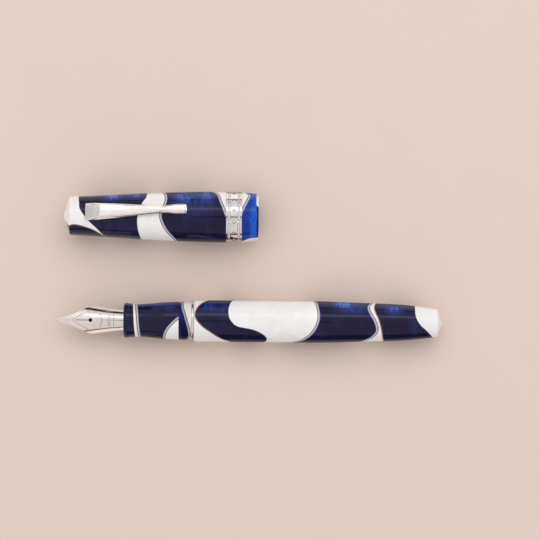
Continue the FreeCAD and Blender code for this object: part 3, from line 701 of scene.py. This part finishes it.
def nib_piece():
    """Curved sheet on a fine grid, engraved from above, with the slit and the breather hole cut through."""
    xs = np.arange(NIB_TIP, NIB_BACK + 0.01, NIB_STEP)
    vs = np.linspace(-1, 1, NIB_COLUMNS)
    plan = smooth(NIB_PLAN, 0.1)
    top, bottom, marks = [], [], []
    for x in xs:
        radius, half_angle, crown = nib_curl(x)
        limit = math.radians(half_angle)
        if x < NIB_SHOULDER:
            width = np.interp(x, plan[:, 0], plan[:, 1])
            limit = min(limit, math.asin(min(1.0, width / radius)))
        a = vs * limit
        y, z = radius * np.sin(a), crown - radius + radius * np.cos(a)
        station = np.full_like(y, x)
        mark = engraving(station, y) * (np.cos(a) > 0.3)
        inner = radius - NIB_THICKNESS
        depth = ENGRAVED_DEPTH * mark
        top.append(np.column_stack([station, y - depth * np.sin(a), z - depth * np.cos(a)]))
        bottom.append(np.column_stack([station, inner * np.sin(a), crown - radius + inner * np.cos(a)]))
        marks.append(mark)
    rows, columns = len(xs), len(vs)
    verts = np.vstack(top + bottom)
    verts[:, 0] += PEN_FRONT
    under = rows * columns
    faces = []
    for i in range(rows - 1):
        for j in range(columns - 1):
            k = i * columns + j
            faces.append((k, k + 1, k + columns + 1, k + columns))
            faces.append((under + k, under + k + columns, under + k + columns + 1, under + k + 1))
    for i in range(rows - 1):
        for j, flip in ((0, 1), (columns - 1, 0)):
            k = i * columns + j
            faces.append((k, k + columns, under + k + columns, under + k)[:: -1 if flip else 1])
    for j in range(columns - 1):
        for i, flip in ((0, 0), (rows - 1, 1)):
            k = i * columns + j
            faces.append((k, under + k, under + k + 1, k + 1)[:: -1 if flip else 1])
    obj = mesh_object("nib_engraved", verts * MM, faces, 40)
    outwards(obj)
    attribute(obj, "engraved", np.concatenate([np.concatenate(marks), np.zeros(under)]))
    cut(obj, cutter_box((NIB_TIP - 1, -NIB_SLIT / 2, -1), (NIB_HOLE, NIB_SLIT / 2, 7), PEN_FRAME))
    cut(obj, cutter_rod((NIB_HOLE, 0, -1), (NIB_HOLE, 0, 7), HOLE_RADIUS, PEN_FRAME))
    finish_with(obj, "nib")
    stand_for(obj, "nib", "nib_unit")


def cutter_rod(start, end, radius, place):
    """Round cutter between two points given in millimetres in a part's own frame."""
    start, end = Vector(start) * MM, Vector(end) * MM
    turn = (end - start).to_track_quat("Z", "Y").to_matrix().to_4x4()
    matrix = place @ Matrix.Translation((start + end) / 2) @ turn
    work = bmesh.new()
    bmesh.ops.create_cone(work, cap_ends=True, segments=40, radius1=radius * MM, radius2=radius * MM,
                          depth=(end - start).length, matrix=matrix)
    return from_bmesh("cutter", work)


def cutter_box(low, high, place):
    """Box cutter between two corners given in millimetres in a part's own frame."""
    low, high = Vector(low) * MM, Vector(high) * MM
    matrix = place @ Matrix.Translation((low + high) / 2) @ Matrix.Diagonal((*(high - low), 1))
    work = bmesh.new()
    bmesh.ops.create_cube(work, size=1, matrix=matrix)
    return from_bmesh("cutter", work)


def cut(obj, cutter, operation="DIFFERENCE"):
    """Takes the cutter's space out of the object, or adds it, and removes the cutter."""
    modifier = obj.modifiers.new("cut", "BOOLEAN")
    modifier.operation = operation
    modifier.object = cutter
    modifier.solver = "EXACT"
    apply_modifiers(obj)
    bpy.data.objects.remove(cutter)


def apply_modifiers(obj):
    bpy.context.view_layer.update()
    depsgraph = bpy.context.evaluated_depsgraph_get()
    mesh = bpy.data.meshes.new_from_object(obj.evaluated_get(depsgraph))
    obj.modifiers.clear()
    obj.data = mesh


# ---------------------------------------------------------------- clip
# Station, half width, underside, side edge, crown and half width of the flat top, about the cap's axis with
# the clip up, in mm
CLIP_HEAD = [
    (7.5, 2.66, 6.55, 6.75, 7.05, 2.05),
    (7.7, 2.88, 6.50, 6.85, 7.15, 2.15),
    (10.1, 2.93, 6.66, 7.2, 7.9, 2.10),
    (12.6, 2.88, 6.82, 7.5, 8.62, 1.98),
]
CLIP_BLADE = [
    (12.6, 2.88, 6.82, 7.5, 8.62, 1.98),
    (16.5, 2.60, 7.30, 7.9, 8.88, 1.74),
    (20.6, 2.26, 7.75, 8.35, 9.15, 1.46),
    (25.0, 1.90, 8.25, 8.8, 9.55, 1.20),
    (29.2, 1.56, 8.65, 9.2, 9.95, 0.95),
    (32.0, 1.34, 8.95, 9.45, 10.2, 0.76),
    (33.6, 1.27, 9.05, 9.6, 10.32, 0.58),
    (35.2, 1.38, 9.0, 9.75, 10.42, 0.62),
    (37.1, 1.62, 8.8, 9.88, 10.52, 0.86),
    (38.6, 1.76, 8.55, 9.9, 10.56, 1.02),
    (40.3, 1.76, 8.5, 9.82, 10.5, 1.04),
    (41.3, 1.66, 8.6, 9.62, 10.3, 0.96),
    (41.75, 1.40, 8.75, 9.45, 10.05, 0.80),
    (41.9, 1.05, 8.9, 9.35, 9.8, 0.60),
]
CLIP_LEAN, CLIP_LEAN_FROM = 0.015, 28.0  # Sideways for each mm along, from that station
CLIP_KNEE = (0.62, 0.36)  # Share of the way from the flat top to the side, and down to the side edge
CLIP_BEVEL = 0.13
CLIP_PIN, CLIP_PIN_RADIUS = (9.8, 3.6), 0.55
CLIP_LUG = [(10.7, 7.2), (10.7, 3.0), (7.3, 3.0), (7.3, 4.2), (8.9, 4.2), (8.9, 7.2)]


def prism(corners, half_width, name, place):
    """Closed prism across a part, from the corners of its side view in millimetres."""
    count = len(corners)
    sides = [(x, side * half_width, z) for side in (-1, 1) for x, z in corners]
    verts = [place @ (Vector(p) * MM) for p in sides]
    faces = [tuple(range(count)), tuple(range(count, 2 * count))[::-1]]
    faces += [(i, (i + 1) % count, count + (i + 1) % count, count + i) for i in range(count)]
    obj = mesh_object(name, verts, faces)
    outwards(obj)
    return obj


def clip_piece():
    """Sprung clip: sloping head, bevelled blade, squared ball end, and the lug that is pinned in the cap."""
    rows = path(straight(CLIP_HEAD, 0.25), smooth(CLIP_BLADE, 0.25))
    verts = []
    for station, half, bottom, edge, crown, flat in rows:
        knee, knee_height = flat + CLIP_KNEE[0] * (half - flat), crown - CLIP_KNEE[1] * (crown - edge)
        ring = [(-half, bottom), (-half, edge), (-knee, knee_height), (-flat, crown),
                (0, crown + 0.04 * flat), (flat, crown), (knee, knee_height), (half, edge), (half, bottom)]
        lean = CLIP_LEAN * (station - CLIP_LEAN_FROM)
        verts += [CLIP_FRAME @ (Vector((station, y + lean, z)) * MM) for y, z in ring]
    count = len(ring)
    faces = []
    for i in range(len(rows) - 1):
        for j in range(count):
            a, b = i * count + j, i * count + (j + 1) % count
            faces.append((a, b, b + count, a + count))
    last = (len(rows) - 1) * count
    faces += [tuple(range(count))[::-1], tuple(range(last, last + count))]
    obj = mesh_object("clip_polished", verts, faces)
    outwards(obj)
    bevel = obj.modifiers.new("bevel", "BEVEL")
    bevel.width, bevel.segments, bevel.limit_method = CLIP_BEVEL * MM, 3, "ANGLE"
    bevel.angle_limit = math.radians(20)
    apply_modifiers(obj)
    cut(obj, prism(CLIP_LUG, 1.0, "lug", CLIP_FRAME), "UNION")
    x, z = CLIP_PIN
    cut(obj, cutter_rod((x, -3, z), (x, 3, z), CLIP_PIN_RADIUS, CLIP_FRAME))
    obj.data.set_sharp_from_angle(angle=math.radians(60))
    obj.modifiers.new("flat_faces", "WEIGHTED_NORMAL").keep_sharp = True
    apply_modifiers(obj)
    finish_with(obj, "chrome")
    stand_for(obj, "clip", "clip")


# ---------------------------------------------------------------- pieces whose CAD shape is right
CAD_FINISH = {
    "nib_tipping": "tipping", "feed": "black", "nib_housing": "black", "section_connector": "steel",
    "trim_ring": "chrome", "barrel_thread_insert": "brass", "converter_tube": "clear",
    "converter_plug": "clear", "converter_collar": "chrome", "rod_guide": "black",
    "converter_knob": "black", "piston_rod": "black", "piston_seal": "rubber", "cap_band_backing": "pearl",
    "cap_liner": "liner", "clip_pivot_pin": "steel", "clip_bracket": "brass", "clip_screw": "steel",
    "clip_spring": "steel",
}


def finish_cad_nodes():
    for node, key in CAD_FINISH.items():
        finish_with(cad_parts[node], key)


# ---------------------------------------------------------------- floor, light and camera
# The floor as polished pieces mirror it, by how far the line back from it points towards +Y: 0 to 1 for
# straight towards -Y to straight towards +Y
FLOOR_WHITE, FLOOR_TAN, FLOOR_BLACK = (1.0, 0.95, 0.93), (0.52, 0.41, 0.34), (0.03, 0.02, 0.02)
FLOOR_MIRRORED = [(0.0, FLOOR_WHITE), (0.12, FLOOR_WHITE), (0.15, FLOOR_TAN), (0.91, FLOOR_TAN),
                  (0.94, FLOOR_BLACK), (1.0, FLOOR_BLACK)]
FLOOR_CREAM, CREAM_FADE = (0.98, 0.86, 0.80), (-45, -35)  # In front of the nib, fading out in that span
FLOOR_REACH, FLOOR_GAP = 3.0, 0.02  # Metres to each side, and mm below the lowest faces


def ramp(m, position, stops):
    """Colour ramp over positions from 0 to 1."""
    node = m.add("ShaderNodeValToRGB", {0: position})
    elements = node.color_ramp.elements
    elements[0].color, elements[-1].color = colour(*stops[0][1]), colour(*stops[-1][1])
    for place, tint in stops[1:-1]:
        elements.new(place).color = colour(*tint)
    return node.outputs[0]


def floor():
    """Plain pale floor. Polished pieces mirror it white far out on +Y, tan close by, black far out on -Y, and
    cream in front of the nib."""
    work = bmesh.new()
    bmesh.ops.create_grid(work, x_segments=2, y_segments=2, size=FLOOR_REACH)
    obj = from_bmesh("floor", work)
    obj.location = (0, 0, cad_box[0].z - FLOOR_GAP * MM)
    m = Nodes("pale_floor")
    plain = m.mix(m.noise(0.05, 2), colour(0.745, 0.605, 0.53), colour(0.76, 0.62, 0.545))
    place = m.add("ShaderNodeNewGeometry").outputs
    station = m.add("ShaderNodeSeparateXYZ", {0: place["Position"]}).outputs[0]
    back_to_piece = m.add("ShaderNodeSeparateXYZ", {0: place["Incoming"]}).outputs[1]
    mirrored = ramp(m, m.remap(back_to_piece, -1, 1), FLOOR_MIRRORED)
    cream = m.remap(station, CREAM_FADE[0] * MM, CREAM_FADE[1] * MM, 1.0, 0.0)
    mirrored = m.mix(cream, mirrored, colour(*FLOOR_CREAM))
    base = m.mix(m.add("ShaderNodeLightPath").outputs["Is Glossy Ray"], plain, mirrored)
    m.set(Base_Color=base, Roughness=0.8)
    obj.data.materials.append(m.material)


# What polished pieces mirror, by direction: degrees from straight up, positive towards +Y, and the colour
ROOM = [
    (-90, (0.03, 0.02, 0.02)), (-86, (0.03, 0.02, 0.02)), (-84, (0.42, 0.10, 0.06)),
    (-80, (0.42, 0.10, 0.06)), (-77, (0.70, 0.655, 0.655)), (-40, (0.70, 0.66, 0.66)),
    (6, (0.72, 0.68, 0.68)), (12, (0.78, 0.75, 0.75)), (22, (0.87, 0.84, 0.83)), (50, (0.87, 0.84, 0.83)),
    (58, (0.74, 0.71, 0.71)), (80, (0.70, 0.67, 0.67)), (84, (0.20, 0.19, 0.20)), (90, (0.20, 0.19, 0.20)),
]
# How bright the room is along the pen, from -1 for straight ahead of the nib to 1 for straight behind the
# barrel: brightest a little ahead of overhead, dim low down at either end
ROOM_ALONG = [(-1.0, 0.60), (-0.55, 0.68), (-0.49, 1.08), (-0.22, 1.08), (-0.04, 1.0), (0.4, 1.0),
              (0.6, 0.6), (1.0, 0.55)]
# The lamp's tilt, how many degrees to either side it is full and where it ends, its power, and where along
# the pen it starts and is full
LAMP_TILT, LAMP_FULL, LAMP_END, LAMP_POWER, LAMP_ALONG = 37.0, 4.0, 9.0, 1.5, (-0.2, -0.12)
# The dark spot overhead: where its edge starts and ends along the pen, and in degrees across it
SPOT_ALONG, SPOT_ACROSS, SPOT_LEVEL = (0.06, 0.08), (2.2, 3.2), 0.05
SOFT_LIGHT, BACKGROUND = (0.82, 0.81, 0.80), (0.80, 0.79, 0.78)


def studio_world():
    """Soft even light. Polished pieces mirror a room with a long lamp above, on +Y, and a dark spot."""
    world = bpy.data.worlds.new("studio")
    bpy.context.scene.world = world
    m = Nodes("studio", world)
    direction = m.add("ShaderNodeSeparateXYZ", {0: m.add("ShaderNodeTexCoord").outputs["Generated"]})
    x, y, z = direction.outputs
    tilt = m.math("DEGREES", m.math("ARCTAN2", y, z))
    round_pen = ramp(m, m.remap(tilt, -90, 90), [((t + 90) / 180, tint) for t, tint in ROOM])
    along = ramp(m, m.remap(x, -1, 1), [((place + 1) / 2, (v, v, v)) for place, v in ROOM_ALONG])
    spot_x = m.remap(m.math("ABSOLUTE", x), *SPOT_ALONG)
    spot_y = m.remap(m.math("ABSOLUTE", tilt), *SPOT_ACROSS)
    spot = m.remap(m.math("MAXIMUM", spot_x, spot_y), 0.0, 1.0, SPOT_LEVEL, 1.0)
    mirrored = m.add("ShaderNodeVectorMath", {0: round_pen, 1: along}, operation="MULTIPLY").outputs[0]
    mirrored = m.add("ShaderNodeVectorMath", {0: mirrored, 1: spot}, operation="MULTIPLY").outputs[0]
    off_lamp = m.math("ABSOLUTE", m.math("SUBTRACT", tilt, LAMP_TILT))
    lamp = m.remap(off_lamp, LAMP_FULL, LAMP_END, LAMP_POWER, 0.0)
    lamp = m.math("MULTIPLY", lamp, m.remap(x, *LAMP_ALONG))
    mirrored = m.add("ShaderNodeVectorMath", {0: mirrored, 1: lamp}, operation="ADD").outputs[0]
    ray = m.add("ShaderNodeLightPath").outputs
    light = m.mix(ray["Is Glossy Ray"], colour(*SOFT_LIGHT), mirrored)
    light = m.mix(ray["Is Camera Ray"], light, colour(*BACKGROUND))
    m.put(m.tree.nodes["Background"].inputs["Color"], light)


def softbox(name, place, target, size, power):
    """Large soft lamp, placed in metres, that lights surfaces but isn't itself mirrored in them."""
    light = bpy.data.lights.new(name, "AREA")
    light.shape, light.size, light.size_y, light.energy = "RECTANGLE", size[0], size[1], power
    light.color = (1.0, 0.99, 0.98)
    obj = linked(name, light)
    obj.location = place
    obj.rotation_euler = (Vector(target) - Vector(place)).to_track_quat("-Z", "Y").to_euler()
    obj.visible_glossy = False


CAMERA_PLACE, CAMERA_ROLL = (5.5, 17.4, 1600.0), 0.5  # mm and degrees
CAMERA_SPREAD, CAMERA_SENSOR = 1.395, 36.0  # Width seen in lengths of the pen, and sensor width in mm


def camera():
    """Straight above, turned a little, with the whole pen and cap across the picture."""
    width_seen = CAMERA_SPREAD * (cad_box[1].x - cad_box[0].x) / MM
    data = bpy.data.cameras.new("camera")
    data.sensor_width, data.lens = CAMERA_SENSOR, CAMERA_SENSOR * CAMERA_PLACE[2] / width_seen
    obj = linked("camera", data)
    obj.location = Vector(CAMERA_PLACE) * MM
    obj.rotation_euler = (0, 0, math.radians(CAMERA_ROLL))
    data.clip_start, data.clip_end = 0.01, 20
    bpy.context.scene.camera = obj


def studio():
    floor()
    studio_world()
    softbox("key", place=(0.05, 0.35, 0.65), target=(0, 0, 0), size=(0.9, 0.5), power=1.7)
    bpy.context.scene.view_settings.view_transform = "Standard"
    camera()


def build():
    barrel_piece()
    section_piece()
    cap_piece()
    lip_piece()
    band_piece()
    nib_piece()
    clip_piece()
    finish_cad_nodes()
    studio()


build()
